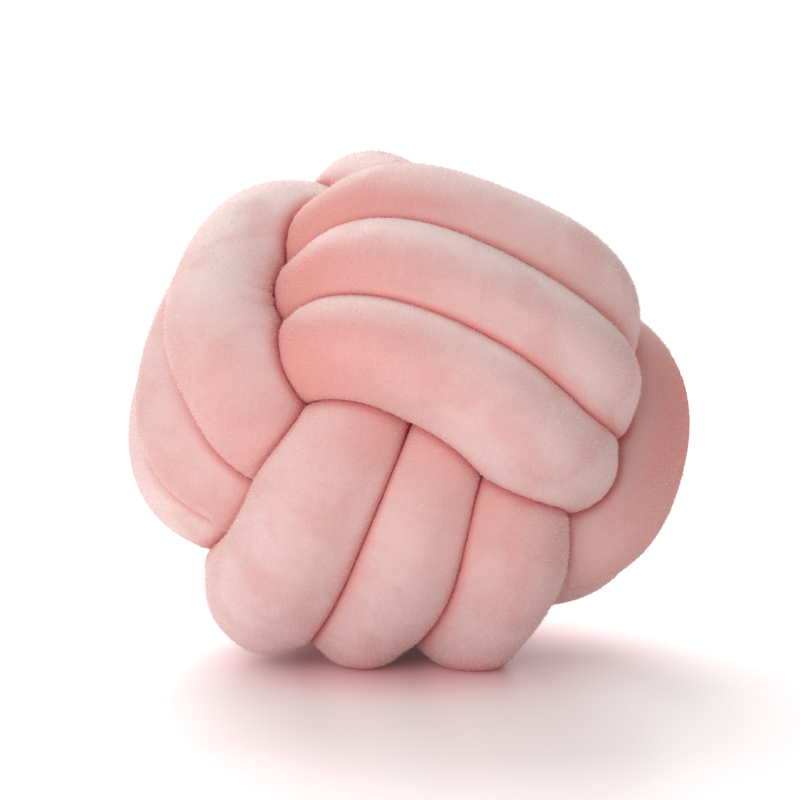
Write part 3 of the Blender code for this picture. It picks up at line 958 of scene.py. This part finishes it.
def pile_tree():
    tree = bpy.data.node_groups.new("short_pile", "GeometryNodeTree")
    add_sockets(tree, "INPUT", PILE_INPUTS)
    add_sockets(tree, "OUTPUT", (("Geometry", "Geometry"),))
    given = node(tree, "NodeGroupInput").outputs
    result = node(tree, "NodeGroupOutput").inputs
    own_band = node(tree, "FunctionNodeCompare", data_type="FLOAT", operation="EQUAL")
    own_band.inputs["Epsilon"].default_value = SAME_BAND
    sown = node(tree, "GeometryNodeDistributePointsOnFaces")
    planted = node(tree, "GeometryNodeInstanceOnPoints")
    realized = node(tree, "GeometryNodeRealizeInstances")
    coloured = node(tree, "GeometryNodeSetMaterial")
    density = maths(tree, "MULTIPLY", given["Density"], carried(tree, "pile"))
    for socket, value in (
            (own_band.inputs["A"], carried(tree, "band")),
            (own_band.inputs["B"], given["Band"]),
            (sown.inputs["Mesh"], given["Geometry"]),
            (sown.inputs["Selection"], own_band.outputs[0]),
            (sown.inputs["Density"], density),
            (sown.inputs["Seed"], given["Seed"]),
            (planted.inputs["Points"], sown.outputs["Points"]),
            (planted.inputs["Instance"], spike(tree, given)),
            (planted.inputs["Rotation"], leaning(tree, given, sown.outputs["Rotation"])),
            (planted.inputs["Scale"], growth(tree)),
            (realized.inputs[0], planted.outputs[0]),
            (coloured.inputs["Geometry"], realized.outputs[0]),
            (coloured.inputs["Material"], given["Material"]),
            (result["Geometry"], coloured.outputs[0])):
        feed(tree, socket, value)
    return tree


# %% Sow it over each band
PILE_PER_SQUARE_METRE = 420000.0
PILE_LENGTH = 0.0013
PILE_WIDTH = 0.00024
PILE_LEAN = 0.7  # radians, at most
PILE_SEED = 5
PILE_COLOURS = {
    "Open Colour": (0.84, 0.68, 0.655, 1.0),
    # painted shade beside and in the creases, as on the tube
    "Deep And Shade Colour": (0.84, 0.52, 0.47, 1.0),
    "Crease Shade Colour": (0.66, 0.34, 0.31, 1.0),
    "Pale And Highlight Colour": (0.84, 0.68, 0.655, 1.0),
}


def sow_pile(name, tree, finish, band):
    """The pile of one band, as a plain mesh."""
    grower = bpy.data.objects.new(name + "_grower", velvet_tube.data)
    bpy.context.scene.collection.objects.link(grower)
    modifier = grower.modifiers.new("pile", "NODES")
    modifier.node_group = tree
    values = {"Density": PILE_PER_SQUARE_METRE, "Length": PILE_LENGTH, "Width": PILE_WIDTH,
              "Lean": PILE_LEAN, "Band": float(band), "Seed": PILE_SEED + band,
              "Material": finish}
    for item in tree.interface.items_tree:
        if item.in_out == "INPUT" and item.name in values:
            modifier[item.identifier] = values[item.name]
    evaluated = grower.evaluated_get(bpy.context.evaluated_depsgraph_get())
    mesh = bpy.data.meshes.new_from_object(evaluated)
    pile = bpy.data.objects.new(name, mesh)
    bpy.context.scene.collection.objects.link(pile)
    bpy.data.objects.remove(grower)
    print(name, "has", len(mesh.polygons), "faces")
    return pile


short_pile = pile_tree()
pile_finish = velvet_material("velvet_pile", PILE_COLOURS)
piles = [sow_pile(name, short_pile, pile_finish, band)
         for band, name in enumerate(("pile_over_top", "pile_over_sides", "pile_over_front"))]

# %% [markdown]
# ## Studio
#
# The cushion stands on a white surface in front of white. The world itself is the large soft
# light, brighter above and to the left. A softbox above and behind edges the top in white, and
# a weak one in front fills the shade. The floor has a soft gloss and fades into the backdrop,
# so that no edge shows from any side. A curved backdrop would do this for one side only.

# %% Floor
FLOOR_SIZE = 3.6
FLOOR_DROP = 0.0002  # under the cushion, so that their faces don't lie in one plane
FLOOR_PAINTED_BOUNCE_REACH = (0.03, 0.15)  # metres from its middle, from the painted pink shadow and bounce to plain white
# painted shadow and bounce: the floor is tinted pink near the cushion
FLOOR_PAINTED_BOUNCE = (0.96, 0.60, 0.64, 1.0)
FLOOR_WHITE = (0.98, 0.93, 0.935, 1.0)
FLOOR_FADES = (0.6, 1.4)  # the same, from its own white into the backdrop's
# painted bounce: a faint pink glow near the cushion, rising to a white far off that fades into the
# backdrop
FLOOR_NEAR = (0.030, 0.0225, 0.0235, 1.0)
FLOOR_FAR = (0.6, 0.6, 0.6, 1.0)
FLOOR_FINISH = {"Roughness": 0.35, "Emission Strength": 1.0}


def floor_material():
    material = bpy.data.materials.new("white_floor")
    material.use_nodes = True
    tree = material.node_tree
    shader = tree.nodes["Principled BSDF"]
    set_inputs(shader, FLOOR_FINISH)
    place = node(tree, "ShaderNodeTexCoord")
    away = node(tree, "ShaderNodeVectorMath", operation="LENGTH")
    feed(tree, away.inputs[0], place.outputs["Object"])
    for name, reach, near_colour, far_colour in (
            ("Base Color", FLOOR_PAINTED_BOUNCE_REACH, FLOOR_PAINTED_BOUNCE, FLOOR_WHITE),
            ("Emission Color", FLOOR_FADES, FLOOR_NEAR, FLOOR_FAR)):
        share = between(tree, away.outputs["Value"], *reach, easing="SMOOTHSTEP")
        feed(tree, shader.inputs[name], mixed(tree, near_colour, far_colour, share))
    return material


bpy.ops.mesh.primitive_plane_add(size=FLOOR_SIZE, location=(0.0, 0.0, -FLOOR_DROP))
floor = bpy.context.object
floor.name = "floor"
floor.data.materials.append(floor_material())
print("the floor is", FLOOR_SIZE, "m wide")

# %% World
LIGHT_SIDE = (-0.70, -0.05, 0.70)  # where most of the soft light comes from
SOFT_LIGHT = (0.21, 0.87)  # its strength from the far side and from there
BACKDROP = 1.05  # the white that the eye and the floor's gloss see instead
WHITE = (1.0, 1.0, 1.0, 1.0)


def studio_world():
    world = bpy.data.worlds.new("white_studio")
    world.use_nodes = True
    sky = world.node_tree
    sky.nodes.clear()
    place = node(sky, "ShaderNodeTexCoord")
    facing = node(sky, "ShaderNodeVectorMath", operation="DOT_PRODUCT")
    ray = node(sky, "ShaderNodeLightPath").outputs
    lit = node(sky, "ShaderNodeBackground")
    seen = node(sky, "ShaderNodeBackground")
    either = node(sky, "ShaderNodeMixShader")
    out = node(sky, "ShaderNodeOutputWorld")
    strength = between(sky, facing.outputs["Value"], -1.0, 1.0, out=SOFT_LIGHT)
    direct = maths(sky, "MAXIMUM", ray["Is Camera Ray"], ray["Is Glossy Ray"])
    for socket, value in (
            (facing.inputs[0], place.outputs["Generated"]),
            (facing.inputs[1], Vector(LIGHT_SIDE).normalized()),
            (lit.inputs["Color"], WHITE),
            (lit.inputs["Strength"], strength),
            (seen.inputs["Color"], WHITE),
            (seen.inputs["Strength"], BACKDROP),
            (either.inputs[0], direct),
            (either.inputs[1], lit.outputs[0]),
            (either.inputs[2], seen.outputs[0]),
            (out.inputs["Surface"], either.outputs[0])):
        feed(sky, socket, value)
    return world


bpy.context.scene.view_settings.view_transform = "Standard"
bpy.context.scene.world = studio_world()
print("the soft light's strength runs from", SOFT_LIGHT[0], "to", SOFT_LIGHT[1])


# %% Softboxes
class Softbox(NamedTuple):
    name: str
    place: tuple  # metres
    size: float
    watts: float


SOFTBOXES = (
    Softbox("above_behind", (-0.3, 1.2, 1.3), 1.0, 24.0),
    Softbox("front_left", (-0.6, -1.5, 0.4), 1.0, 13.0),
)
ball_centre = Vector(-to_frame) + Vector((0.0, 0.0, CENTRE_HEIGHT))
for softbox in SOFTBOXES:
    data = bpy.data.lights.new(softbox.name, "AREA")
    data.size = softbox.size
    data.energy = softbox.watts
    lamp = bpy.data.objects.new(softbox.name, data)
    lamp.location = softbox.place
    lamp.rotation_euler = (ball_centre - Vector(softbox.place)).to_track_quat("-Z", "Y").to_euler()
    bpy.context.scene.collection.objects.link(lamp)
    print(softbox.name, "gives", softbox.watts, "W")

# %% [markdown]
# ## Camera
#
# The camera looks at the ball's middle from a little above. The photograph has it off centre,
# so the lens is shifted by as much. Turning the camera would do it too, but it would also tip
# the upright lines.

# %% Camera
CAMERA_ELEVATION = 6.0  # degrees
CAMERA_DISTANCE = 1.4
IMAGE_SIZE = 800  # pixels
BALL_PIXEL = (415, 415)  # where the ball's centre lies in the photograph
PIXELS_PER_METRE = 2011  # at the ball's centre
SENSOR = 36.0  # millimetres

elevation = radians(CAMERA_ELEVATION)
camera_data = bpy.data.cameras.new("camera")
camera = bpy.data.objects.new("camera", camera_data)
bpy.context.scene.collection.objects.link(camera)
camera.location = ball_centre + CAMERA_DISTANCE * Vector((0.0, -cos(elevation), sin(elevation)))
camera.rotation_euler = (pi / 2 - elevation, 0.0, 0.0)
camera_data.sensor_width = SENSOR
camera_data.lens = PIXELS_PER_METRE * CAMERA_DISTANCE * SENSOR / IMAGE_SIZE
camera_data.shift_x = -(BALL_PIXEL[0] / IMAGE_SIZE - 0.5)
camera_data.shift_y = BALL_PIXEL[1] / IMAGE_SIZE - 0.5
bpy.context.scene.camera = camera
print(f"the lens is {camera_data.lens:.0f} mm long")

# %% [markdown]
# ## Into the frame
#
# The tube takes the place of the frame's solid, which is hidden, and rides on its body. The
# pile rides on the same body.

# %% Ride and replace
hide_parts("knotted_tube")
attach(velvet_tube, "root")
for pile in piles:
    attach(pile, "root")
